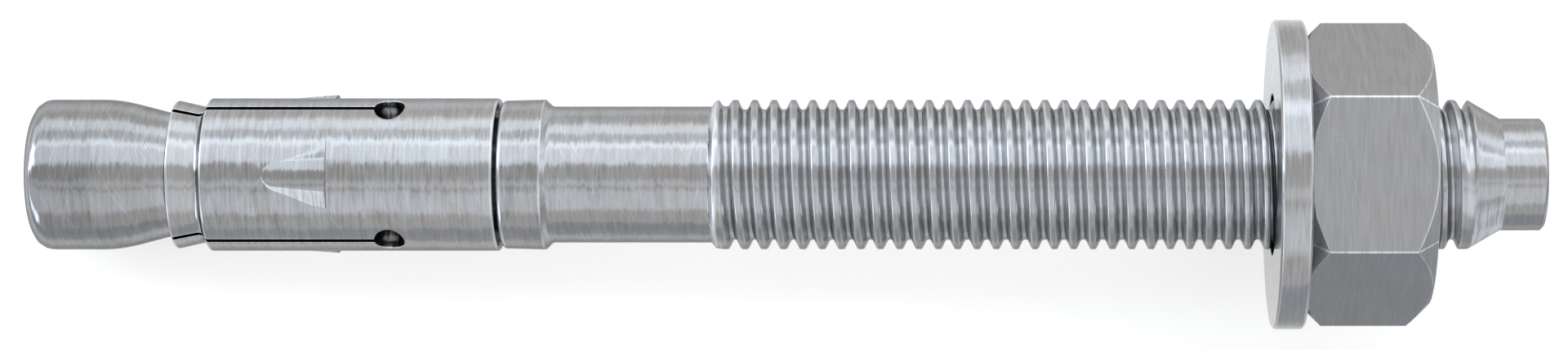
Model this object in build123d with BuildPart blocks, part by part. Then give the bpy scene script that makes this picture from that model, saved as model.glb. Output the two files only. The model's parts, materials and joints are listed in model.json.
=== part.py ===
from build123d import *
import os
from math import asin, atan2, cos, degrees, hypot, radians, sin, tan

# Wedge anchor for an M10 fixture: a cone bolt with its expansion clip, washer and
# hexagon nut, as delivered, lying on its washer's rim and on the edge of its cone end.
# Millimetres. Each piece is drawn along its own axis, which is local Z: Z = 0 is the
# washer's bearing face, +Z runs towards the nut, -X is the side that faces up when the
# anchor lies down. The last section lays the pieces down around the bearing face.

# Cone bolt, lengths along the axis
projection = 17.5               # bearing face to the struck end of the pin
end_rounding = 1.1
cone_land_length = 4.25         # full-width land, from the far end
cone_shoulder_length = 2.3      # curved change from the land to the slope
collar_face_depth = 49.7        # bearing face to the collar's clip side
collar_length = 3.25
collar_edge = 0.33
thread_depth = 36.2             # bearing face to the start of the thread
thread_lead_in = 0.5
thread_end = 12.6               # where the thread meets the end chamfer
pin_edge = 0.22

# Cone bolt, diameters and angles
cone_diameter = 9.70
cone_angle = 14.6
neck_diameter = 7.40
shank_diameter = 8.80
collar_height = 0.45            # above the shank, on the shank's side
collar_taper = 0.07             # how much lower the collar is on the clip's side
thread_height = 0.43            # crests of the rolled thread above the shank; a plain cylinder
pin_diameter = 7.24
end_chamfer_angle = 30

# Expansion clip: one bent sheet with three flared lips and three raised wedges
clip_length = 20.83
clip_diameter = 9.86
clip_edge = 0.15
lip_diameter = 9.60             # over the flared edges
lip_length = 2.25               # lip edge to the body's shoulder
lip_groove_diameter = 8.72      # where the lips' flare meets the body's sloping shoulder
lip_shoulder_rise = 0.32        # axial length of that shoulder
lip_edge = 0.14
slit_width = 0.40
seam_width = 0.40
hole_to_lip = 14.0              # lip edge to the middle of the relief holes
hole_length = 1.94
hole_width = 2.42
slit_angle = 60                 # each side of the wedge that faces up
wedge_length = 3.75
wedge_to_lip = 10.24            # lip edge to the wedge's upright end
wedge_height = 0.32
wedge_root_depth = 0.75         # how far the wedge's sides run on into the sheet
wedge_top_width = 2.34
wedge_root_width = 4.92
wedge_tip_length = 0.75         # blunt point, to where the wedge is nearly as wide as its end
wedge_tip_top_width = 1.80
wedge_tip_root_width = 3.50
wedge_point_top_width = 0.30
wedge_point_root_width = 1.00

# Nut and washer
nut_across_flats = 17.0
nut_height = 8.0
nut_face_inset = 0.10           # outer face's chamfer circle, inside the flats
nut_seat_overhang = 0.20        # seat's chamfer circle, outside the flats
nut_chamfer_angle = 45
nut_countersink = 0.47          # at both ends of the bore
washer_overhang = 0.185         # washer's rim beyond the nut's corners
washer_thickness = 2.0
washer_edge = 0.15

# Fits and clearances
lip_overlap = 0.715             # how far the clip's lips reach over the cone's slope
clip_neck_clearance = 0.08      # radial, clip on neck
clip_end_play = 0.17            # axial, clip to collar
lip_cone_clearance = 0.12       # lips to cone
washer_thread_clearance = 0.42  # radial, washer bore over the thread's crests
nut_thread_clearance = 0.10     # radial, nut bore over the thread's crests
nut_seat_gap = 0.05

# Worked out from the sizes above
cone_radius = cone_diameter / 2
neck_radius = neck_diameter / 2
shank_radius = shank_diameter / 2
collar_radius = shank_radius + collar_height
thread_radius = shank_radius + thread_height
pin_radius = pin_diameter / 2
clip_radius = clip_diameter / 2
nut_corner_radius = nut_across_flats / 2 / cos(radians(30))
washer_radius = nut_corner_radius + washer_overhang
cone_slope = tan(radians(cone_angle))
collar_face = -collar_face_depth
clip_collar_end = collar_face - clip_end_play
lip_end = clip_collar_end - clip_length
neck_start = lip_end + lip_overlap
slope_start_radius = cone_radius - cone_shoulder_length * cone_slope / 2
slope_start = neck_start - (slope_start_radius - neck_radius) / cone_slope
land_end = slope_start - cone_shoulder_length
far_end = land_end - cone_land_length


# Cone bolt: turned cone, neck, collar, shank, threaded length and striking pin in one piece
chamfer_length = (thread_radius - pin_radius) / tan(radians(end_chamfer_angle))
with BuildPart() as anchor_bolt:
    with BuildSketch(Plane.XZ):
        with BuildLine():
            Line((0, far_end), (cone_radius - end_rounding, far_end))
            RadiusArc(
                (cone_radius - end_rounding, far_end),
                (cone_radius, far_end + end_rounding),
                -end_rounding,
            )
            Line((cone_radius, far_end + end_rounding), (cone_radius, land_end))
            TangentArc(
                (cone_radius, land_end),
                (slope_start_radius, slope_start),
                tangent=(0, 1),
            )
            Polyline(
                (slope_start_radius, slope_start),
                (neck_radius, neck_start),
                (neck_radius, collar_face),
                (collar_radius - collar_taper - collar_edge, collar_face),
                (collar_radius - collar_taper, collar_face + collar_edge),
                (collar_radius, collar_face + collar_length - collar_height),
                (shank_radius, collar_face + collar_length),
                (shank_radius, -thread_depth),
                (thread_radius, -thread_depth + thread_lead_in),
                (thread_radius, thread_end),
                (pin_radius, thread_end + chamfer_length),
                (pin_radius, projection - pin_edge),
                (pin_radius - pin_edge, projection),
                (0, projection),
                (0, far_end),
            )
        make_face()
    revolve(axis=Axis.Z)


# One raised wedge of the clip, on the +X side: it climbs from a blunt point to an upright end
def wedge_section(station, height, top_width, root_width):
    """Section of the wedge across the axis, from its top down to its root in the sheet."""
    top = clip_radius + height
    root = clip_radius - wedge_root_depth
    with BuildSketch(Plane.XY.offset(station)) as section:
        with BuildLine():
            Polyline(
                (top, -top_width / 2),
                (root, -root_width / 2),
                (root, root_width / 2),
                (top, top_width / 2),
                close=True,
            )
        make_face()
    return section.sketch


wedge_end = lip_end + wedge_to_lip
wedge_point = wedge_end - wedge_length
wedge_tip = wedge_point + wedge_tip_length
wedge_tip_height = wedge_height * wedge_tip_length / wedge_length
with BuildPart() as wedge:
    loft(
        [
            wedge_section(wedge_point, 0, wedge_point_top_width, wedge_point_root_width),
            wedge_section(
                wedge_tip, wedge_tip_height, wedge_tip_top_width, wedge_tip_root_width
            ),
            wedge_section(wedge_end, wedge_height, wedge_top_width, wedge_root_width),
        ],
        ruled=True,
    )


# Expansion clip: sheet wrapped round the neck, its lips flared along the cone
clip_bore_radius = neck_radius + clip_neck_clearance
lip_radius = lip_diameter / 2
lip_gap = lip_cone_clearance / cos(radians(cone_angle))
lip_bore_radius = neck_radius + lip_gap + lip_overlap * cone_slope
flare_start = neck_start + (lip_gap - clip_neck_clearance) / cone_slope
shoulder = lip_end + lip_length
with BuildPart() as expansion_clip:
    with BuildSketch(Plane.XZ):
        with BuildLine():
            Polyline(
                (clip_bore_radius, clip_collar_end),
                (clip_radius - clip_edge, clip_collar_end),
                (clip_radius, clip_collar_end - clip_edge),
                (clip_radius, shoulder),
                (lip_groove_diameter / 2, shoulder - lip_shoulder_rise),
                (lip_radius, lip_end + lip_edge),
                (lip_radius - lip_edge, lip_end),
                (lip_bore_radius, lip_end),
                (clip_bore_radius, flare_start),
                close=True,
            )
        make_face()
    revolve(axis=Axis.Z)
    with PolarLocations(0, 3, start_angle=slit_angle):
        add(wedge.part)

    # Two slits part the lips and end in relief holes; the bent sheet's own seam is the third
    with BuildSketch(Plane.XY.offset(lip_end)):
        with PolarLocations(clip_radius, 2, 180 - slit_angle, 2 * slit_angle, endpoint=True):
            Rectangle(clip_radius, slit_width)
    extrude(amount=hole_to_lip, mode=Mode.SUBTRACT)
    with BuildSketch(Plane.XY.offset(lip_end)):
        with Locations((clip_radius, 0)):
            Rectangle(clip_radius, seam_width)
    extrude(amount=clip_length, mode=Mode.SUBTRACT)
    for angle in (180 - slit_angle, 180 + slit_angle):
        outward = Vector(cos(radians(angle)), sin(radians(angle)), 0)
        with BuildSketch(Plane((0, 0, lip_end + hole_to_lip), x_dir=(0, 0, 1), z_dir=outward)):
            Ellipse(hole_length / 2, hole_width / 2)
        extrude(amount=clip_radius + wedge_height, mode=Mode.SUBTRACT)


# Washer
washer_bore_radius = thread_radius + washer_thread_clearance
with BuildPart() as washer:
    with BuildSketch():
        Circle(washer_radius)
        Circle(washer_bore_radius, mode=Mode.SUBTRACT)
    extrude(amount=washer_thickness)
    rims = washer.edges().filter_by(GeomType.CIRCLE)
    chamfer(rims.filter_by(lambda rim: rim.radius > washer_bore_radius), washer_edge)


# Hexagon nut: a prism turned down at both ends, bored to clear the bolt's thread
nut_seat = washer_thickness + nut_seat_gap
nut_top = nut_seat + nut_height
nut_bore_radius = thread_radius + nut_thread_clearance
nut_chamfer_slope = tan(radians(nut_chamfer_angle))
nut_seat_radius = nut_across_flats / 2 + nut_seat_overhang
nut_face_radius = nut_across_flats / 2 - nut_face_inset
seat_chamfer = (nut_corner_radius - nut_seat_radius) * nut_chamfer_slope
top_chamfer = (nut_corner_radius - nut_face_radius) * nut_chamfer_slope
with BuildPart() as hex_nut:
    with BuildSketch(Plane.XY.offset(nut_seat)):
        RegularPolygon(nut_across_flats / 2, 6, major_radius=False, rotation=30)
    extrude(amount=nut_height)
    with BuildSketch(Plane.XZ):
        with BuildLine():
            Polyline(
                (nut_bore_radius + nut_countersink, nut_seat),
                (nut_seat_radius, nut_seat),
                (nut_corner_radius, nut_seat + seat_chamfer),
                (nut_corner_radius, nut_top - top_chamfer),
                (nut_face_radius, nut_top),
                (nut_bore_radius + nut_countersink, nut_top),
                (nut_bore_radius, nut_top - nut_countersink),
                (nut_bore_radius, nut_seat + nut_countersink),
                close=True,
            )
        make_face()
    revolve(axis=Axis.Z, mode=Mode.INTERSECT)


# The anchor at rest: it leans on the washer's lower rim and on the rounded cone end,
# so its axis climbs towards the nut by the angle of the line that touches both.
rim_to_rounding = washer_edge - far_end - end_rounding
rim_drop = washer_radius - (cone_radius - end_rounding)
rest_tilt = degrees(
    atan2(rim_drop, rim_to_rounding) - asin(end_rounding / hypot(rim_drop, rim_to_rounding))
)
lying = Location((0, 0, 0), (0, 90 - rest_tilt, 0))

anchor_bolt.part.label = "anchor_bolt"
expansion_clip.part.label = "expansion_clip"
washer.part.label = "washer"
hex_nut.part.label = "hex_nut"

os.makedirs("parts", exist_ok=True)
for piece in (anchor_bolt, expansion_clip, washer, hex_nut):
    piece.part.locate(lying)
    export_step(piece.part, f"parts/{piece.part.label}.step")
print(f"rest tilt {rest_tilt:.4f} degrees, neck starts at {neck_start:.3f}, lips end at {lip_end:.3f}")
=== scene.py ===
"""Wedge anchor: fine meshes, metals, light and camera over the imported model. Sizes in mm."""
import json
import math
from typing import NamedTuple

import bmesh
import bpy
import numpy as np
from mathutils import Matrix, Vector


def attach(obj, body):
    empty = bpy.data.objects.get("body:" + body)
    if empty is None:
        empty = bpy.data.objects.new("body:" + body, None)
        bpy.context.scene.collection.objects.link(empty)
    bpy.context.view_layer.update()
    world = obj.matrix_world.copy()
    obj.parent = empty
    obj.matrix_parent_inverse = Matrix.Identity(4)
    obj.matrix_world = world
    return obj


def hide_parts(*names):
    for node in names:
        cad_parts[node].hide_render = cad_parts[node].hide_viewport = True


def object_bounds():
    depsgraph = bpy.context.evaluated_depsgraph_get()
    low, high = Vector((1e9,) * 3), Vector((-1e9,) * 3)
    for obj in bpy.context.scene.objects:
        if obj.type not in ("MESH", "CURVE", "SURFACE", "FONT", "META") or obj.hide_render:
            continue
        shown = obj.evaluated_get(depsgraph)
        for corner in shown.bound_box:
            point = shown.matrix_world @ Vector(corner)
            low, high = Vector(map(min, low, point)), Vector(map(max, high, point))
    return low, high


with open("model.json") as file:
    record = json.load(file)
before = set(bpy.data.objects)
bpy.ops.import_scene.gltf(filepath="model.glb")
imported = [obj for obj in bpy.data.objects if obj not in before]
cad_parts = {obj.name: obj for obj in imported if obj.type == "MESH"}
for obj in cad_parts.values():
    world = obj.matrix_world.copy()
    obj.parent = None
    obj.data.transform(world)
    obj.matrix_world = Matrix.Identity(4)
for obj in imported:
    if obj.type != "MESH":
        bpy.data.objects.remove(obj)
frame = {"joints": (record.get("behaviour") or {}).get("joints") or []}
cad_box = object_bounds()

MM = 0.001
TURN = 2 * math.pi
BOLT_COLUMNS = 96           # divisions round the bolt
WASHER_COLUMNS = 120
FILLET_STEPS = 4
SUPPORT = 0.03              # a ring this far beyond each rounding keeps the faces beside it flat
WELD = 1e-8

# Wear and painted light, kept in the meshes as an attribute: rubbed steel and painted highlights
# above 0, painted shade below 0
BRIGHT_EDGE_ROUNDING = 0.35        # edges with a rounding up to this one are rubbed bright and carry a painted highlight
CORNER_WEAR_AND_HIGHLIGHT = 0.6
CREVICE = -1.0              # painted shade, on a face that no light reaches

# Cone bolt: places along the axis from the washer's bearing face, and radii
FAR_END = -79.799
LAND_CORNER = -74.4
NECK_START = -69.985
SLOPE_HIDDEN = -70.75       # from here on the clip's lips cover the slope
COLLAR_FACE = -49.7
COLLAR_END = -46.45
THREAD_START = -36.2
LEAD_IN_END = -35.85
THREAD_END = 12.6
CHAMFER_END = 14.696
STRUCK_END = 17.5
CONE_RADIUS = 4.85
NECK_RADIUS = 3.70
CONE_SLOPE = (CONE_RADIUS - NECK_RADIUS) / (NECK_START - LAND_CORNER)
SHANK_RADIUS = 4.40
COLLAR_HEIGHT = 0.45
COLLAR_RADIUS = SHANK_RADIUS + COLLAR_HEIGHT
COLLAR_TAPER = 0.07
COLLAR_EDGE = 0.33
CREST_RADIUS = 4.83
PIN_RADIUS = 3.62
PIN_EDGE = 0.22
END_ROUNDING = 1.1
CONE_SHOULDER_ROUNDING = 8.98
NECK_END_ROUNDING = 0.05
COLLAR_CREST_ROUNDING = 0.14
COLLAR_FOOT_ROUNDING = 0.4
PIN_ROUNDING = 0.1

# Rolled thread
PITCH = 1.25
FIRST_GROOVE = -34.36
GROOVE_BEGIN = -1.35        # turns before the first full groove
GROOVE_END = 37.6
GROOVE_DEPTH = 0.62
GROOVE_RUN_IN = 0.9         # turns over which the groove deepens
GROOVE_RUN_OUT = 0.35
SPARE_TURNS = 4             # turns of mesh past both ends, which close up there
# Distances from the groove's middle, each with the share of its depth there
GROOVE_PROFILE = ((0, 1), (0.08, 0.985), (0.17, 0.90), (0.425, 0.06), (0.485, 0), (0.625, 0))
# Rows of the mesh on each side of the groove's middle, and painted light of all rows from crest
# to crest, most on the flanks facing the cone end
GROOVE_ROWS = (0, 0.07, 0.13, 0.19, 0.2875, 0.395, 0.445, 0.495, 0.625)
THREAD_PAINTED_LIGHT = (0, 0.1, 0.2, 0.32, 0.34, 0.34, 0.3, 0.25, 0.25, 0.25, 0, 0.5, 0.68, 0.68, 0.7, 0.5)
# Painted highlight on the lead-in, by station
LEAD_IN_HIGHLIGHT = (
    (THREAD_START, 0),
    (THREAD_START + 0.1, 1),
    (LEAD_IN_END + 0.1, 1),
    (LEAD_IN_END + 0.2, 0),
)
# A painted highlight on one side of the end chamfer: its level, by angle in degrees
CHAMFER_HIGHLIGHT_START = THREAD_END + 0.1
CHAMFER_HIGHLIGHT = ((205, 0), (222, 1.6), (258, 1.6), (272, 0))

# Expansion clip
CLIP_END = -49.87
LIP_END = -70.70
LIP_SHOULDER = -68.45
SHOULDER_RISE = 0.32
CLIP_RADIUS = 4.93
CLIP_BORE = 3.78
LIP_RADIUS = 4.80
LIP_BORE = 4.01
FLARE_START = -69.82
LIP_GROOVE_RADIUS = 4.36
LIP_ROUNDING = 0.14
LIP_GROOVE_ROUNDING = 0.4
CLIP_SHOULDER_ROUNDING = 0.16
CLIP_END_ROUNDING = 0.15
BORE_STRIP = 0.1            # width of the last strip of both end faces, beside the bore
SLIT_HALF_WIDTH = 0.20
HOLE_MIDDLE = -56.70
HOLE_HALF_LENGTH = 0.97
HOLE_HALF_WIDTH = 1.21
HOLE_START = HOLE_MIDDLE - HOLE_HALF_LENGTH
HOLE_END = HOLE_MIDDLE + HOLE_HALF_LENGTH
HOLE_MARGIN = 0.2           # beyond the holes, where the painted shade on the neck under them deepens
# Painted shade on the neck seen through the holes, lighter than under the rest of the clip
HOLE_BOTTOM_SHADE = -0.3
HOLE_WALL_LIGHT = 0.3        # painted light on the holes' walls
HOLE_WALL_SPARE = 0.02      # that painted light stops this far before the holes' ends
RIM = 0.05                  # broken edge of the slits and holes
RIM_COLUMNS = 4
RIM_WEAR_AND_HIGHLIGHT = (0, 1, 0.5)      # rubbed steel and a painted highlight on all the rim's columns but the last
JOINED_SHADE = (0, 0, 0, 0, 0, CREVICE)      # painted shade on the wall's columns where two leaves join

# The clip's raised wedges
WEDGE_END = -60.46
WEDGE_POINT = -64.50
WEDGE_TIP = -63.90
WEDGE_STATIONS = (WEDGE_POINT, -64.35, -64.15, WEDGE_TIP, WEDGE_END)
WEDGE_HEIGHTS = (0, 0.03, 0.05, 0.075, 0.32)
WEDGE_TOP_HALVES = (0.12, 0.42, 0.62, 0.76, 1.04)
WEDGE_SIDE_LEANS = (2.3, 2.3, 2.2, 2.1, 1.75)
WEDGE_DOME = 0.4
WEDGE_TILT = 0.04
WEDGE_FACE_FOOT = WEDGE_END + 0.05      # the upright end leans this far
# Painted shade on the wedge's upright end, deepest at its foot, and a painted highlight just past
# it
WEDGE_FACE_SHADE_AND_HIGHLIGHT = ((WEDGE_END, -0.4), (WEDGE_FACE_FOOT, -0.9), (WEDGE_FACE_FOOT + SUPPORT, 0.3))
# Painted highlight on one flank of each wedge
WEDGE_FLANK_HIGHLIGHT = 1.0
WEDGE_SHIFT = math.radians(10)      # from the middle of the two leaves beside the seam
WEDGE_TOP_LIMIT = 0.8       # most of a wedge's width that the mesh gives to its top

# Mesh of the clip: rows from, to and how many, then columns across a wedge and beside it
ROWS_TO_HOLE = (
    (LIP_SHOULDER + 0.5, WEDGE_POINT - 0.05, 8),
    (WEDGE_POINT, WEDGE_TIP, 9),
    (WEDGE_TIP + 0.05, WEDGE_END - 0.03, 12),
    (WEDGE_END, WEDGE_FACE_FOOT, 2),
    (WEDGE_FACE_FOOT + SUPPORT, WEDGE_FACE_FOOT + SUPPORT, 1),
    (WEDGE_END + 0.3, HOLE_START - 0.05, 6),
)
HOLE_ROWS = 29
ROWS_FROM_HOLE = (HOLE_END + 0.1, CLIP_END - 0.4, 8)
FOOT_ANGLES = np.linspace(0.01, 0.75, 400)      # where a wedge's foot is looked for
FOOT_MARGIN = 1.03
BESIDE_WEDGE = np.linspace(0, 1, 16)
UP_WEDGE = np.array([0.03, 0.25, 0.5, 0.75, 0.96, FOOT_MARGIN])
OVER_WEDGE = np.linspace(-0.85, 0.85, 11)
BORE_STRIDE = 6             # the bore has every sixth column

# Washer and hexagon nut
WASHER_THICKNESS = 2.0
WASHER_RADIUS = 9.999
WASHER_BORE = 5.25
WASHER_EDGE = 0.15
WASHER_RIM_ROUNDING = 0.08
WASHER_FACE_ROUNDING = 0.05
WASHER_BORE_ROUNDING = 0.06
NUT_SEAT = 2.05
NUT_TOP = 10.05
NUT_APOTHEM = 8.5
NUT_BORE = 4.93
NUT_COUNTERSINK = 0.47
NUT_SEAT_RADIUS = 8.70
NUT_FACE_RADIUS = 8.40
NUT_CORNER_ROUNDING = 0.18
NUT_BROKEN_EDGE = 0.07
NUT_BORE_ROUNDING = 0.05
NUT_SEAT_ROUNDINGS = (0.02, 0.03)
NUT_FACE_ROUNDING = 0.10
HALF_SIDE = math.radians(30)        # from the middle of a side to its corner
CORNER_SWINGS = np.radians((15, 30, 45))    # of each corner's rounding, from the side before it
SIDE_COLUMNS = np.linspace(-0.9, 0.9, 11)


class Finish(NamedTuple):
    """Look of one piece's zinc plating."""
    pale: tuple             # colour of most of it
    dull: tuple             # colour of its blotches
    roughness: float
    tilt: float             # how far the turning rings tip the reflections
    dents: float            # how far the dents do
    hatch: float            # contrast of the rings
    marks: float            # strength of the scratches and specks
    tint: float             # level of the reflections at grazing angles


FINISHES = {
    "bolt_steel": Finish(
        pale=(0.44, 0.447, 0.46), dull=(0.42, 0.418, 0.415),
        roughness=0.14, tilt=0.15, dents=0.09, hatch=0.10, marks=0.2, tint=0.4,
    ),
    "clip_steel": Finish(
        pale=(0.465, 0.473, 0.485), dull=(0.445, 0.443, 0.44),
        roughness=0.15, tilt=0.15, dents=0.09, hatch=0.10, marks=0.15, tint=0.4,
    ),
    "washer_steel": Finish(
        pale=(0.45, 0.457, 0.47), dull=(0.43, 0.43, 0.425),
        roughness=0.14, tilt=0.15, dents=0.09, hatch=0.12, marks=0.1, tint=0.8,
    ),
    "nut_steel": Finish(
        pale=(0.452, 0.459, 0.47), dull=(0.442, 0.444, 0.449),
        roughness=0.28, tilt=0.03, dents=0.01, hatch=0.05, marks=0.1, tint=0.3,
    ),
}
BARE_STEEL_AND_HIGHLIGHT = (0.86, 0.88, 0.92, 1)
EDGE_BRIGHTNESS = 0.9
CREVICE_SHADE = 0.15
CONE_SHADE = 0.86           # the cone's colour is darker from the lips on
CONE_SHADE_LENGTH = 1
THREAD_CALM = 0.5           # the thread's faces waver less than the turned ones
ROUGHNESS_SPREAD = (-0.04, 0.06)    # least and most that the rings add
BARE_ROUGHNESS = 0.2        # more than the plating's
# Noise: spots a millimetre across the axis and along it, and detail
RINGS = (0.4, 6.0, 3.0)
DENTS = (1.3, 0.8, 3.0)
BLOTCHES = (0.5, 0.35, 4.0)
SPECKS = (5.0, 5.0, 1.0)
NOISE_MIDDLE = (0.5, 0.5, 0.5)
# Levels of the noise where each effect begins and where it is full
RING_LEVELS = (0.3, 0.7)
BLOTCH_LEVELS = (0.35, 0.65)
SPECK_LEVELS = (0.73, 0.78)
SCRATCH_LEVELS = (0.72, 0.80)
BRIGHT_EDGE_RING_LEVELS = (0.35, 0.55)
BRIGHT_EDGE_RING_SHARES = (0.4, 1.0)       # how bright a rubbed and highlighted edge is at those levels
# Scratches: slants in degrees, and spots a millimetre along and across each family of them
SCRATCH_SLANTS = (8, -13, 28)
SCRATCH_SPOTS = (0.25, 15.0, 1)
SCRATCH_STEP = 7.3          # from one family's noise to the next
SCRATCH_DISTORTION = 0.4
SQUARE_COSINES = (0.75, 0.85)       # from here, and fully from here, a face is square to the axis
MIX_COLOURS = (6, 7)        # a Mix node's sockets for colours
MIX_RESULT = 2

# Floor, with X and Y in mm
FLOOR_HALF = 4.0            # metres
FLOOR_GLOW = 0.44
FLOOR_WHITE = (0.87, 0.86, 0.845, 1)
FLOOR_PAINTED_SHADE = (0.33, 0.335, 0.345, 1)
# Painted shade, grey in front of the anchor and lighter towards the back.
# From the front to the back: Y where each tone begins and where it is full
FLOOR_PAINTED_FALLOFF = (((-50, 25), (0.56, 0.53, 0.505, 1)), ((35, 170), FLOOR_WHITE))
# A painted pool of light on the floor round the anchor: X or Y outside it and inside it. It fills
# the camera's frame, and the painted shade beyond it shows in the steel's reflections and from
# other angles.
PAINTED_POOL_FRONT = (-22, -10)
PAINTED_POOL_BACK = (26, 10)
PAINTED_POOL_LEFT = (-170, -85)
PAINTED_POOL_RIGHT = (90, 30)

# Studio, with directions as X of a unit vector
ROOM = (0.70, 0.69, 0.685)
ROOM_LEFT = 0.74            # the room's level on the side of the cone
ROOM_TURN = (-0.17, -0.25)  # direction where that level begins and where it is full
STRIP_TINT = (0.88, 1.0, 1.13)
SIDES = {"far left": (-0.65, -0.80), "left": (-0.44, -0.56)}    # where each begins, is full
# Middle and half width in degrees about the X axis from straight up, soft edge, level and side
STRIP_LIGHTS = (
    (87, 14, 3, 0.85, "all"),
    (64, 9, 4, 0.32, "all"),
    (37, 20, 3, 0.77, "all"),
    (50, 4, 2, 0.50, "all"),
    (-15, 5, 3, 0.29, "all"),
    (-44, 18, 4, 0.35, "all"),
    (45, 25, 6, 2.4, "far left"),
    (-80, 12, 4, 2.0, "left"),
)

# Camera
SENSOR_WIDTH = 36
FOCAL_LENGTH = 93.9
LENS_SHIFT = -0.137
CAMERA_STATION = -17.65
CAMERA_HEIGHT = 264.5       # above the axis

slide = next(joint for joint in frame["joints"] if joint["name"] == "washer_slide")
axis = Vector(slide["axis"]).normalized()
up = Vector((0, 1, 0))
towards_camera = axis.cross(up).normalized()
lying = Matrix((-towards_camera, up, axis)).transposed()


# Mesh building, all about the local Z axis
def filleted(corners):
    """Outline (station, radius, edge mark for rubbing and painted light) of corners given as
    (station, radius, rounding).
    """
    points = []
    last = len(corners) - 1
    for i, (station, radius, rounding) in enumerate(corners):
        corner = Vector((station, radius))
        if rounding == 0 or i in (0, last):
            points.append((*corner, 0))
            continue
        before = Vector(corners[i - 1][:2]) - corner
        after = Vector(corners[i + 1][:2]) - corner
        half = before.angle(after) / 2
        reach = rounding / math.tan(half)
        before.normalize()
        after.normalize()
        middle = corner + (before + after).normalized() * rounding / math.sin(half)
        start = corner + before * reach - middle
        end = corner + after * reach - middle
        # Small roundings are rubbed bright and carry a painted highlight
        wear_and_light = CORNER_WEAR_AND_HIGHLIGHT if rounding <= BRIGHT_EDGE_ROUNDING else 0
        points.append((*(corner + before * (reach + SUPPORT)), 0))
        for step in range(FILLET_STEPS + 1):
            share = step / FILLET_STEPS
            points.append((*(middle + start.lerp(end, share).normalized() * rounding), wear_and_light))
        points.append((*(corner + after * (reach + SUPPORT)), 0))
    return np.array(points)


def by_table(values, table):
    """Each value looked up in a table of pairs, or between two of them."""
    return np.interp(values, *zip(*table))


def polar(radius, angle, station, wear_and_light=0.0):
    """Grid of points about the axis, each with the mark of its edge: rubbing, painted light and
    painted shade.
    """
    radius, angle, station, wear_and_light = np.broadcast_arrays(radius, angle, station, wear_and_light)
    return np.stack([radius * np.cos(angle), radius * np.sin(angle), station, wear_and_light], axis=2)


def full_turn(columns):
    """Angles of the columns round the axis, in one row."""
    return np.linspace(0, TURN, columns + 1)[None, :]


def swept(outline, columns):
    """The outline swept once round the axis."""
    station, radius, wear_and_light = np.split(outline, 3, axis=1)
    return polar(radius, full_turn(columns), station, wear_and_light)


def piece(name, grids, body, slot):
    """Makes one welded, smooth mesh of the grids, in place of the CAD node it is named after."""
    built = bmesh.new()
    marked_wear_and_light = built.verts.layers.float.new("wear_and_painted_light")
    for grid in grids:
        rows, columns = grid.shape[:2]
        corners = []
        for *point, wear_and_light in grid.reshape(-1, 4):
            corners.append(built.verts.new(lying @ Vector(point) * MM))
            corners[-1][marked_wear_and_light] = wear_and_light
        for row in range(rows - 1):
            for column in range(columns - 1):
                first = row * columns + column
                beyond = first + columns
                built.faces.new([corners[i] for i in (first, first + 1, beyond + 1, beyond)])
    bmesh.ops.remove_doubles(built, verts=built.verts, dist=WELD)
    bmesh.ops.dissolve_degenerate(built, edges=built.edges, dist=WELD)
    bmesh.ops.recalc_face_normals(built, faces=built.faces)
    for face in built.faces:
        face.smooth = True
    mesh = bpy.data.meshes.new(name)
    built.to_mesh(mesh)
    built.free()
    mesh.materials.append(zinc(slot, FINISHES[slot]))
    made = bpy.data.objects.new(name, mesh)
    bpy.context.scene.collection.objects.link(made)
    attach(made, body)
    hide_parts(name.replace("fine_", ""))


# Cone bolt
def blank_outline():
    """From the cone end to the start of the thread."""
    outline = filleted(
        [
            (FAR_END, 0, 0),
            (FAR_END, CONE_RADIUS, END_ROUNDING),
            (LAND_CORNER, CONE_RADIUS, CONE_SHOULDER_ROUNDING),
            (SLOPE_HIDDEN, NECK_RADIUS + (NECK_START - SLOPE_HIDDEN) * CONE_SLOPE, 0),
            (NECK_START, NECK_RADIUS, NECK_END_ROUNDING),
            (HOLE_START - HOLE_MARGIN, NECK_RADIUS, 0),
            (HOLE_START, NECK_RADIUS, 0),
            (HOLE_END, NECK_RADIUS, 0),
            (HOLE_END + HOLE_MARGIN, NECK_RADIUS, 0),
            (COLLAR_FACE, NECK_RADIUS, NECK_END_ROUNDING),
            (COLLAR_FACE, COLLAR_RADIUS - COLLAR_TAPER, COLLAR_EDGE),
            (COLLAR_END - COLLAR_HEIGHT, COLLAR_RADIUS, COLLAR_CREST_ROUNDING),
            (COLLAR_END, SHANK_RADIUS, COLLAR_FOOT_ROUNDING),
            (THREAD_START - SUPPORT, SHANK_RADIUS, 0),
            (THREAD_START, SHANK_RADIUS, 0),
        ]
    )
    station, radius, wear_and_light = outline.T
    # Painted shade on the neck under the clip, lighter where the holes open over it
    wear_and_light[(np.abs(radius - NECK_RADIUS) < SUPPORT) & (station > SLOPE_HIDDEN)] = CREVICE
    wear_and_light[np.abs(station - HOLE_MIDDLE) < HOLE_HALF_LENGTH + HOLE_MARGIN / 2] = HOLE_BOTTOM_SHADE
    return outline


def pin_outline():
    """From the end chamfer to the struck end."""
    outline = filleted(
        [
            (CHAMFER_END, PIN_RADIUS, 0),
            (CHAMFER_END + SUPPORT, PIN_RADIUS, 0),
            (STRUCK_END - PIN_EDGE, PIN_RADIUS, PIN_ROUNDING),
            (STRUCK_END, PIN_RADIUS - PIN_EDGE, PIN_ROUNDING),
            (STRUCK_END, 0, 0),
        ]
    )
    outline[:, 2] = 0
    return outline


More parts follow.
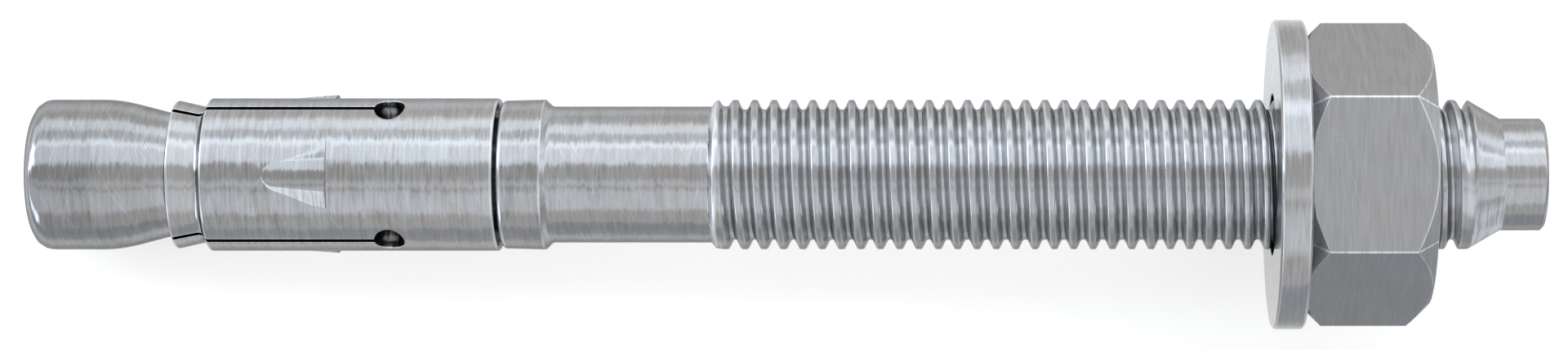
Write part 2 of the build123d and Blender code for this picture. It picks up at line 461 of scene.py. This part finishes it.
def thread():
    """Right-hand helical groove, from the shank to the pin.

    The rows of every groove run once round the axis and climb by a pitch, to meet the next one's.
    """
    side = np.array(GROOVE_ROWS)
    across = np.concatenate([-side[:0:-1], side[:-1]])
    grooves = np.arange(-SPARE_TURNS, int(GROOVE_END) + SPARE_TURNS + 1)
    depth = np.tile(by_table(np.abs(across), GROOVE_PROFILE), len(grooves))[:, None]
    row_painted_light = np.tile(THREAD_PAINTED_LIGHT, len(grooves))[:, None]
    centre = np.repeat(grooves, len(across))[:, None]
    phase = (grooves[:, None] + across / PITCH).reshape(-1, 1)
    angles = full_turn(BOLT_COLUMNS)
    station = FIRST_GROOVE + PITCH * (phase + angles / TURN)
    station = np.clip(station, THREAD_START, CHAMFER_END)
    turns = centre + angles / TURN
    run_in = np.clip((turns - GROOVE_BEGIN) / GROOVE_RUN_IN, 0, 1)
    run_out = np.clip((GROOVE_END - turns) / GROOVE_RUN_OUT, 0, 1)
    blank = np.interp(
        station,
        [THREAD_START, LEAD_IN_END, THREAD_END, CHAMFER_END],
        [SHANK_RADIUS, CREST_RADIUS, CREST_RADIUS, PIN_RADIUS],
    )
    radius = np.minimum(blank, CREST_RADIUS - GROOVE_DEPTH * depth * run_in * run_out)
    # Painted light on the grooves, and a painted highlight on the lead-in
    grooved = (run_in * run_out > 0) & (station > LEAD_IN_END) & (station < THREAD_END)
    lead_in_highlight = by_table(station, LEAD_IN_HIGHLIGHT)
    # Painted highlight on one side of the chamfer
    chamfer_highlight = by_table(np.degrees(angles), CHAMFER_HIGHLIGHT) * (station > CHAMFER_HIGHLIGHT_START)
    wear_and_light = np.maximum.reduce([row_painted_light * grooved, lead_in_highlight, chamfer_highlight])
    return polar(radius, angles, station, wear_and_light)


# Expansion clip
def crowned(height, offset):
    """Radius of the wedge's slightly domed and tilted top."""
    return (CLIP_RADIUS + height) * (1 - WEDGE_DOME * offset**2 + WEDGE_TILT * offset)


def wedge_radius(station, offset):
    """Radius of the raised wedge at each station and angle from its middle."""
    height = np.interp(station, WEDGE_STATIONS, WEDGE_HEIGHTS)
    lean = np.interp(station, WEDGE_STATIONS, WEDGE_SIDE_LEANS)
    edge = np.interp(station, WEDGE_STATIONS, WEDGE_TOP_HALVES) / CLIP_RADIUS
    rim = crowned(height, np.sign(offset) * edge)
    spread = np.abs(np.sin(offset)) + np.cos(offset) * lean
    side = rim * (np.sin(edge) + np.cos(edge) * lean) / spread
    return np.minimum(crowned(height, offset), side)


def wedge_foot(station):
    """Angle from the wedge's middle at which its side meets the sheet."""
    below = wedge_radius(station, FOOT_ANGLES[None, :]) <= CLIP_RADIUS
    return FOOT_ANGLES[np.argmax(below, axis=1)][:, None]


def half_gap(station, seam):
    """Half of the opening between two leaves: a slit with its relief hole, or the seam."""
    if seam:
        return np.full_like(station, SLIT_HALF_WIDTH)
    inside = 1 - ((station - HOLE_MIDDLE) / HOLE_HALF_LENGTH) ** 2
    hole = HOLE_HALF_WIDTH * np.sqrt(np.clip(inside, 0, None))
    slit = np.where(station < HOLE_MIDDLE, SLIT_HALF_WIDTH, 0)
    return np.maximum(hole, slit)


def clip_outline():
    """Columns of station, of outer radius without the wedges, and of edge marks for rubbing and
    painted light.
    """
    ends = filleted(
        [
            (LIP_END, LIP_BORE + BORE_STRIP, 0),
            (LIP_END, LIP_RADIUS, LIP_ROUNDING),
            (LIP_SHOULDER - SHOULDER_RISE, LIP_GROOVE_RADIUS, LIP_GROOVE_ROUNDING),
            (LIP_SHOULDER, CLIP_RADIUS, CLIP_SHOULDER_ROUNDING),
            (CLIP_END, CLIP_RADIUS, CLIP_END_ROUNDING),
            (CLIP_END, CLIP_BORE + BORE_STRIP, 0),
        ]
    )
    to_hole = [np.linspace(*rows) for rows in ROWS_TO_HOLE]
    hole = HOLE_MIDDLE + HOLE_HALF_LENGTH * np.sin(np.linspace(-0.5, 0.5, HOLE_ROWS) * math.pi)
    stations = np.concatenate([*to_hole, hole, np.linspace(*ROWS_FROM_HOLE)])
    body = np.stack([stations, np.full_like(stations, CLIP_RADIUS), stations * 0], axis=1)
    cut = int(np.argmax(ends[:, 0] > stations[0]))
    return np.split(np.concatenate([ends[:cut], body, ends[cut:]]), 3, axis=1)


def leaf_columns(station, first, last, middle, foot):
    """Angles of a leaf's columns, closer together over its wedge, and of the wedge's top edge."""
    top = np.interp(station, WEDGE_STATIONS, WEDGE_TOP_HALVES) / CLIP_RADIUS
    top = np.minimum(top, WEDGE_TOP_LIMIT * foot)
    before = first + (middle - FOOT_MARGIN * foot - first) * BESIDE_WEDGE
    climb = middle - foot + (foot - top) * UP_WEDGE
    over = middle + top * OVER_WEDGE
    after = last + (middle + FOOT_MARGIN * foot - last) * BESIDE_WEDGE
    columns = [before, climb, over, 2 * middle - climb[:, ::-1], after[:, ::-1]]
    return np.concatenate(columns, axis=1), top


def parting_wall(station, edge, rim, outer, bore):
    """One side of a slit or of the seam, from its broken rim down to the bore."""
    swing = np.linspace(0, math.pi / 2, RIM_COLUMNS)[None, :]
    drop = np.abs(rim) * CLIP_RADIUS
    angles = np.concatenate([edge + rim * (1 - np.sin(swing)), edge, edge], axis=1)
    radii = np.concatenate([outer - drop * (1 - np.cos(swing)), outer - 2 * drop, bore], axis=1)
    # Painted shade on the walls, painted light on the holes' walls, and rubbed steel and a
    # painted highlight on the rims
    wall_light_and_shade = np.where(drop < RIM - WELD, 0, CREVICE)
    in_hole = np.abs(station - HOLE_MIDDLE) < HOLE_HALF_LENGTH - HOLE_WALL_SPARE
    wall_light_and_shade = np.where(in_hole, HOLE_WALL_LIGHT, wall_light_and_shade)
    rim_wear_and_highlight = np.broadcast_to(RIM_WEAR_AND_HIGHLIGHT, (len(station), len(RIM_WEAR_AND_HIGHLIGHT)))
    wear_and_light = np.concatenate([rim_wear_and_highlight, wall_light_and_shade, wall_light_and_shade, wall_light_and_shade], axis=1)
    wear_and_light = np.where(rim == 0, JOINED_SHADE, wear_and_light)
    parted = int(np.count_nonzero(rim)) + 1
    return polar(np.maximum(radii, bore), angles, station, wear_and_light)[:parted]


def leaf(start, seam_before, seam_after):
    """Grids of one third of the clip's sheet, from the parting at the start angle to the next."""
    station, radius, wear_and_light = clip_outline()
    gap_before = half_gap(station, seam_before)
    gap_after = half_gap(station, seam_after)
    first = start + gap_before / CLIP_RADIUS
    last = start + TURN / 3 - gap_after / CLIP_RADIUS
    rim_first = np.minimum(RIM, gap_before) / CLIP_RADIUS
    rim_last = -np.minimum(RIM, gap_after) / CLIP_RADIUS
    middle = start + TURN / 6 + WEDGE_SHIFT * (seam_before - seam_after)

    # Before the wedge's point, the columns close up on it as they open out after it
    near = np.clip(WEDGE_POINT + np.abs(station - WEDGE_POINT), WEDGE_POINT, WEDGE_END)
    foot = wedge_foot(near)
    angles, top = leaf_columns(near, first + rim_first, last + rim_last, middle, foot)
    offset = angles - middle
    on_wedge = np.abs(offset) < foot
    raised = on_wedge & (station > WEDGE_POINT - WELD) & (station < WEDGE_END + WELD)
    outer = np.where(raised, np.maximum(radius, wedge_radius(near, offset)), radius)
    # Painted highlight on one flank, and painted shade and a highlight at the upright end
    wear_and_light = np.where(raised & (offset > top), WEDGE_FLANK_HIGHLIGHT, wear_and_light)
    for place, marked_wear_and_light in WEDGE_FACE_SHADE_AND_HIGHLIGHT:
        wear_and_light = np.where(on_wedge & (np.abs(station - place) < WELD), marked_wear_and_light, wear_and_light)

    bore = np.interp(station, [LIP_END, FLARE_START], [LIP_BORE, CLIP_BORE])
    bore_angles = np.concatenate([first, angles[:, ::BORE_STRIDE], last], axis=1)
    # The bore carries painted shade
    grids = [polar(outer, angles, station, wear_and_light), polar(bore, bore_angles, station, CREVICE)]
    for row in (0, -1):
        edge = np.concatenate([first[row], angles[row], last[row]])[None, :]
        radii = np.array([radius[row], bore[row]])
        grids.append(polar(radii, edge, station[row]))
    grids.append(parting_wall(station, first, rim_first, outer[:, :1], bore))
    grids.append(parting_wall(station, last, rim_last, outer[:, -1:], bore))
    return grids


# Washer and nut
def washer_outline():
    return filleted(
        [
            (WASHER_THICKNESS / 2, WASHER_BORE, 0),
            (0, WASHER_BORE, WASHER_BORE_ROUNDING),
            (0, WASHER_RADIUS - WASHER_EDGE, WASHER_FACE_ROUNDING),
            (WASHER_EDGE, WASHER_RADIUS, WASHER_RIM_ROUNDING),
            (WASHER_THICKNESS - WASHER_EDGE, WASHER_RADIUS, WASHER_RIM_ROUNDING),
            (WASHER_THICKNESS, WASHER_RADIUS - WASHER_EDGE, WASHER_FACE_ROUNDING),
            (WASHER_THICKNESS, WASHER_BORE, WASHER_BORE_ROUNDING),
            (WASHER_THICKNESS / 2, WASHER_BORE, 0),
        ]
    )


def hexagon():
    """Radius, angle and edge mark round the nut's outline, with rounded corners rubbed bright and
    given a painted highlight.
    """
    straight = (NUT_APOTHEM - NUT_CORNER_ROUNDING) * math.tan(HALF_SIDE)
    near_corner = straight - SUPPORT
    side_columns = (-straight, -near_corner, *(SIDE_COLUMNS * straight), near_corner, straight)
    centre = (NUT_APOTHEM - NUT_CORNER_ROUNDING) / math.cos(HALF_SIDE)
    points = []
    for side in range(6):
        facing = 2 * HALF_SIDE * side
        cos, sin = math.cos(facing), math.sin(facing)
        for along in side_columns:
            points.append((NUT_APOTHEM * cos - along * sin, NUT_APOTHEM * sin + along * cos, 0))
        corner = facing + HALF_SIDE
        x, y = centre * math.cos(corner), centre * math.sin(corner)
        for swing in facing + CORNER_SWINGS:
            points.append((x + NUT_CORNER_ROUNDING * math.cos(swing),
                           y + NUT_CORNER_ROUNDING * math.sin(swing), 1))
    points.append(points[0])
    x, y, wear_and_light = np.array(points).T
    return np.hypot(x, y), np.arctan2(y, x), wear_and_light


def nut_grid():
    radii, angles, corner_wear_and_highlight = hexagon()
    columns = []
    for radius in radii:
        seat = min(NUT_SEAT_RADIUS, radius - NUT_BROKEN_EDGE)
        face = min(NUT_FACE_RADIUS, radius - NUT_BROKEN_EDGE)
        columns.append(
            filleted(
                [
                    (NUT_TOP / 2, NUT_BORE, 0),
                    (NUT_SEAT + NUT_COUNTERSINK, NUT_BORE, NUT_BORE_ROUNDING),
                    (NUT_SEAT, NUT_BORE + NUT_COUNTERSINK, NUT_BORE_ROUNDING),
                    (NUT_SEAT, seat, NUT_SEAT_ROUNDINGS[0]),
                    (NUT_SEAT + radius - seat, radius, NUT_SEAT_ROUNDINGS[1]),
                    (NUT_TOP - radius + face, radius, NUT_FACE_ROUNDING),
                    (NUT_TOP, face, NUT_FACE_ROUNDING),
                    (NUT_TOP, NUT_BORE + NUT_COUNTERSINK, NUT_BORE_ROUNDING),
                    (NUT_TOP - NUT_COUNTERSINK, NUT_BORE, NUT_BORE_ROUNDING),
                    (NUT_TOP / 2, NUT_BORE, 0),
                ]
            )
        )
    outline = np.stack(columns, axis=1)
    outside = outline[:, :, 1] > NUT_FACE_RADIUS
    wear_and_light = np.maximum(outline[:, :, 2], corner_wear_and_highlight * outside)
    return polar(outline[:, :, 1], angles, outline[:, :, 0], wear_and_light)


# Shader nodes
def put(tree, socket, value):
    """Set the socket to the value, or link it where the value is another node's output."""
    if isinstance(value, bpy.types.NodeSocket):
        tree.links.new(value, socket)
    else:
        socket.default_value = value


def node(tree, kind, *values, **settings):
    """A node with its first inputs set or linked, in order."""
    made = tree.nodes.new(kind)
    for name, setting in settings.items():
        setattr(made, name, setting)
    for socket, value in zip(made.inputs, values):
        put(tree, socket, value)
    return made


def number(tree, operation, *values):
    return node(tree, "ShaderNodeMath", *values, operation=operation).outputs[0]


def vector(tree, operation, *values):
    return node(tree, "ShaderNodeVectorMath", *values, operation=operation).outputs[0]


def split(tree, value):
    """X, Y and Z of the vector."""
    return node(tree, "ShaderNodeSeparateXYZ", value).outputs


def joined(tree, *values):
    return node(tree, "ShaderNodeCombineXYZ", *values).outputs[0]


def scaled(tree, value, factor):
    made = node(tree, "ShaderNodeVectorMath", value, operation="SCALE")
    put(tree, made.inputs["Scale"], factor)
    return made.outputs[0]


def turned(tree, value, about, angle):
    made = node(tree, "ShaderNodeVectorRotate", value, rotation_type=about)
    made.inputs["Angle"].default_value = angle
    return made.outputs[0]


def mapped(tree, value, *reach, smooth=False):
    """The value carried from a range, low and high, to another one, or else to 0 to 1."""
    kind = "SMOOTHSTEP" if smooth else "LINEAR"
    return node(tree, "ShaderNodeMapRange", value, *reach, interpolation_type=kind).outputs[0]


def mixed(tree, share, first, second):
    """The second number where the share is 1, the first where it is 0."""
    return number(tree, "MULTIPLY_ADD", number(tree, "SUBTRACT", second, first), share, first)


def blended(tree, share, first, second):
    """The second colour where the share is 1, the first where it is 0."""
    made = node(tree, "ShaderNodeMix", share, data_type="RGBA")
    for place, colour in zip(MIX_COLOURS, (first, second)):
        put(tree, made.inputs[place], colour)
    return made.outputs[MIX_RESULT]


def noise(tree, place, detail, distortion=0.0):
    """Level and colour of noise with a spot in each unit."""
    made = node(tree, "ShaderNodeTexNoise", place)
    made.inputs["Scale"].default_value = 1.0
    made.inputs["Detail"].default_value = detail
    made.inputs["Distortion"].default_value = distortion
    return made.outputs


def spots(tree, place, across, along, detail):
    """Level and colour of noise with so many spots a millimetre across and along the axis."""
    return noise(tree, vector(tree, "MULTIPLY", place, (across, across, along)), detail)


# Metals
def axial_place(tree):
    """The place on the piece in mm, with Z along the axis."""
    here = node(tree, "ShaderNodeTexCoord").outputs["Object"]
    return scaled(tree, turned(tree, here, "Y_AXIS", math.asin(axis.z) - math.pi / 2), 1 / MM)


def squareness(tree):
    """1 on faces square to the axis, 0 on those round it."""
    normal = node(tree, "ShaderNodeNewGeometry").outputs["Normal"]
    made = node(tree, "ShaderNodeVectorMath", normal, tuple(axis), operation="DOT_PRODUCT")
    return mapped(tree, number(tree, "ABSOLUTE", made.outputs["Value"]), *SQUARE_COSINES)


def ring_place(tree, place, square):
    """The place, its Z on square faces being the distance from the axis: rings go round there."""
    x, y, z = split(tree, place)
    away = number(tree, "MULTIPLY_ADD", x, x, number(tree, "MULTIPLY", y, y))
    return joined(tree, x, y, mixed(tree, square, z, number(tree, "SQRT", away)))


def scratches(tree, place, square):
    """Thin marks over the unrolled face, each family at its own slant from the axis."""
    x, y, z = split(tree, place)
    angle = number(tree, "ARCTAN2", y, number(tree, "MULTIPLY", x, -1.0))
    around = number(tree, "MULTIPLY", angle, CONE_RADIUS)
    face = joined(tree, mixed(tree, square, around, x), mixed(tree, square, z, y))
    marks = 0.0
    for i, slant in enumerate(SCRATCH_SLANTS):
        family = turned(tree, face, "Z_AXIS", math.radians(slant))
        family = vector(tree, "MULTIPLY", family, SCRATCH_SPOTS)
        family = vector(tree, "ADD", family, (0, 0, SCRATCH_STEP * i))
        level = noise(tree, family, 0.0, SCRATCH_DISTORTION)[0]
        marks = number(tree, "MAXIMUM", marks, mapped(tree, level, *SCRATCH_LEVELS))
    return marks


def zinc(name, finish):
    """Plated steel: rings round the axis, faint dents, blotches, scratches, rubbed edges, painted
    highlights and painted shade.
    """
    made = bpy.data.materials.new(name)
    made.use_nodes = True
    tree = made.node_tree
    shader = tree.nodes["Principled BSDF"]
    shader.inputs["Metallic"].default_value = 1.0
    shader.inputs["Specular Tint"].default_value = (finish.tint, finish.tint, finish.tint, 1)

    place = axial_place(tree)
    station = split(tree, place)[2]
    square = squareness(tree)
    ring, ring_colour = spots(tree, ring_place(tree, place, square), *RINGS)
    dent_colour = spots(tree, place, *DENTS)[1]
    blotch = spots(tree, place, *BLOTCHES)[0]
    speck = spots(tree, place, *SPECKS)[0]
    marked_wear_and_light = node(tree, "ShaderNodeAttribute", attribute_name="wear_and_painted_light").outputs["Fac"]

    # Bare steel shows in the marks, and rubbed steel and painted highlights on the marked edges,
    # where the rings break them up
    marks = mapped(tree, speck, *SPECK_LEVELS)
    marks = number(tree, "MAXIMUM", scratches(tree, place, square), marks)
    marks = number(tree, "MULTIPLY", marks, finish.marks)
    breaks = mapped(tree, ring, *BRIGHT_EDGE_RING_LEVELS, *BRIGHT_EDGE_RING_SHARES)
    edge = number(tree, "MULTIPLY", mapped(tree, marked_wear_and_light, 0, 1), breaks)
    bare_and_highlight = number(tree, "MAXIMUM", number(tree, "MULTIPLY", edge, EDGE_BRIGHTNESS), marks)

    blotched = mapped(tree, blotch, *BLOTCH_LEVELS)
    colour = blended(tree, blotched, (*finish.pale, 1), (*finish.dull, 1))
    hatch = mapped(tree, ring, *RING_LEVELS, 1 - finish.hatch, 1 + finish.hatch)
    colour = scaled(tree, colour, hatch)
    # Painted shade: faces marked below 0 darken, down to CREVICE_SHADE where the mark is CREVICE
    colour = scaled(tree, colour, mapped(tree, marked_wear_and_light, 0, CREVICE, 1.0, CREVICE_SHADE))
    cone = mapped(tree, station, LIP_END, LIP_END - CONE_SHADE_LENGTH, 1.0, CONE_SHADE)
    colour = scaled(tree, colour, cone)
    put(tree, shader.inputs["Base Color"], blended(tree, bare_and_highlight, colour, BARE_STEEL_AND_HIGHLIGHT))

    smoothest, roughest = (finish.roughness + more for more in ROUGHNESS_SPREAD)
    roughness = mapped(tree, ring, *RING_LEVELS, smoothest, roughest)
    rougher = number(tree, "MULTIPLY", bare_and_highlight, BARE_ROUGHNESS)
    put(tree, shader.inputs["Roughness"], number(tree, "ADD", roughness, rougher))

    calm = finish.tilt * THREAD_CALM
    tilt = mapped(tree, station, THREAD_START, LEAD_IN_END, finish.tilt, calm)
    lean = scaled(tree, vector(tree, "SUBTRACT", ring_colour, NOISE_MIDDLE), tilt)
    wave = scaled(tree, vector(tree, "SUBTRACT", dent_colour, NOISE_MIDDLE), finish.dents)
    normal = node(tree, "ShaderNodeNewGeometry").outputs["Normal"]
    normal = vector(tree, "ADD", normal, vector(tree, "ADD", lean, wave))
    put(tree, shader.inputs["Normal"], vector(tree, "NORMALIZE", normal))
    return made


# Floor, light and camera
def floor_material():
    """Painted shade, grey in front, paler past the anchor, white behind, and a painted pool of
    light round it.
    """
    made = bpy.data.materials.new("floor_painted_light_and_shade")
    made.use_nodes = True
    tree = made.node_tree
    tree.nodes.clear()
    here = node(tree, "ShaderNodeTexCoord").outputs["Object"]
    x, y, _ = split(tree, scaled(tree, here, 1 / MM))
    colour = FLOOR_PAINTED_SHADE
    for reach, shade in FLOOR_PAINTED_FALLOFF:
        colour = blended(tree, mapped(tree, y, *reach, smooth=True), colour, shade)
    # Painted pool of light round the anchor
    painted_pool = 1.0
    for place, reach in ((y, PAINTED_POOL_FRONT), (y, PAINTED_POOL_BACK), (x, PAINTED_POOL_LEFT), (x, PAINTED_POOL_RIGHT)):
        painted_pool = number(tree, "MULTIPLY", painted_pool, mapped(tree, place, *reach, smooth=True))
    colour = blended(tree, painted_pool, colour, FLOOR_WHITE)
    diffuse = node(tree, "ShaderNodeBsdfDiffuse", colour)
    glow = node(tree, "ShaderNodeEmission", colour, FLOOR_GLOW)
    both = node(tree, "ShaderNodeAddShader", diffuse.outputs[0], glow.outputs[0])
    path = node(tree, "ShaderNodeLightPath").outputs
    seen = number(tree, "ADD", path["Is Camera Ray"], path["Is Glossy Ray"])
    seen = number(tree, "ADD", seen, path["Is Transmission Ray"])
    choice = node(tree, "ShaderNodeMixShader", seen, diffuse.outputs[0], both.outputs[0])
    node(tree, "ShaderNodeOutputMaterial", choice.outputs[0])
    return made


def floor():
    low, high, level = -FLOOR_HALF, FLOOR_HALF, cad_box[0][2]
    corners = [(low, low, level), (high, low, level), (high, high, level), (low, high, level)]
    mesh = bpy.data.meshes.new("floor")
    mesh.from_pydata(corners, [], [(0, 1, 2, 3)])
    mesh.materials.append(floor_material())
    made = bpy.data.objects.new("floor", mesh)
    bpy.context.scene.collection.objects.link(made)


def studio():
    """Long soft lights along the anchor, in a plain room."""
    world = bpy.data.worlds.new("studio")
    world.use_nodes = True
    bpy.context.scene.world = world
    tree = world.node_tree
    x, y, z = split(tree, node(tree, "ShaderNodeTexCoord").outputs["Generated"])
    angle = number(tree, "DEGREES", number(tree, "ARCTAN2", y, z))
    sides = {side: mapped(tree, x, *reach, smooth=True) for side, reach in SIDES.items()}
    total = 0.0
    for middle, half, soft, level, side in STRIP_LIGHTS:
        away = number(tree, "ABSOLUTE", number(tree, "SUBTRACT", angle, middle))
        light = mapped(tree, away, half + soft, half - soft, 0.0, level, smooth=True)
        if side in sides:
            light = number(tree, "MULTIPLY", light, sides[side])
        total = number(tree, "ADD", total, light)
    strips = scaled(tree, joined(tree, *STRIP_TINT), total)
    room_level = mapped(tree, x, *ROOM_TURN, 1.0, ROOM_LEFT, smooth=True)
    glow = vector(tree, "ADD", strips, scaled(tree, joined(tree, *ROOM), room_level))
    background = tree.nodes["Background"]
    put(tree, background.inputs["Color"], glow)
    background.inputs["Strength"].default_value = 1.0


def camera():
    """Straight down on the lying anchor, level with its axis."""
    data = bpy.data.cameras.new("camera")
    data.sensor_fit = "HORIZONTAL"
    data.sensor_width = SENSOR_WIDTH
    data.lens = FOCAL_LENGTH
    data.shift_x = LENS_SHIFT
    made = bpy.data.objects.new("camera", data)
    bpy.context.scene.collection.objects.link(made)
    place = axis * (CAMERA_STATION * MM) + towards_camera * (CAMERA_HEIGHT * MM)
    facing = Matrix((axis, up, towards_camera)).transposed().to_4x4()
    made.matrix_world = Matrix.Translation(place) @ facing
    bpy.context.scene.camera = made


bolt = [swept(blank_outline(), BOLT_COLUMNS), thread(), swept(pin_outline(), BOLT_COLUMNS)]
clip = leaf(0, True, False) + leaf(TURN / 3, False, False) + leaf(2 * TURN / 3, False, True)
piece("fine_anchor_bolt", bolt, "bolt", "bolt_steel")
piece("fine_expansion_clip", clip, "clip", "clip_steel")
piece("fine_washer", [swept(washer_outline(), WASHER_COLUMNS)], "washer", "washer_steel")
piece("fine_hex_nut", [nut_grid()], "nut", "nut_steel")
floor()
studio()
camera()
bpy.context.scene.view_settings.view_transform = "Standard"
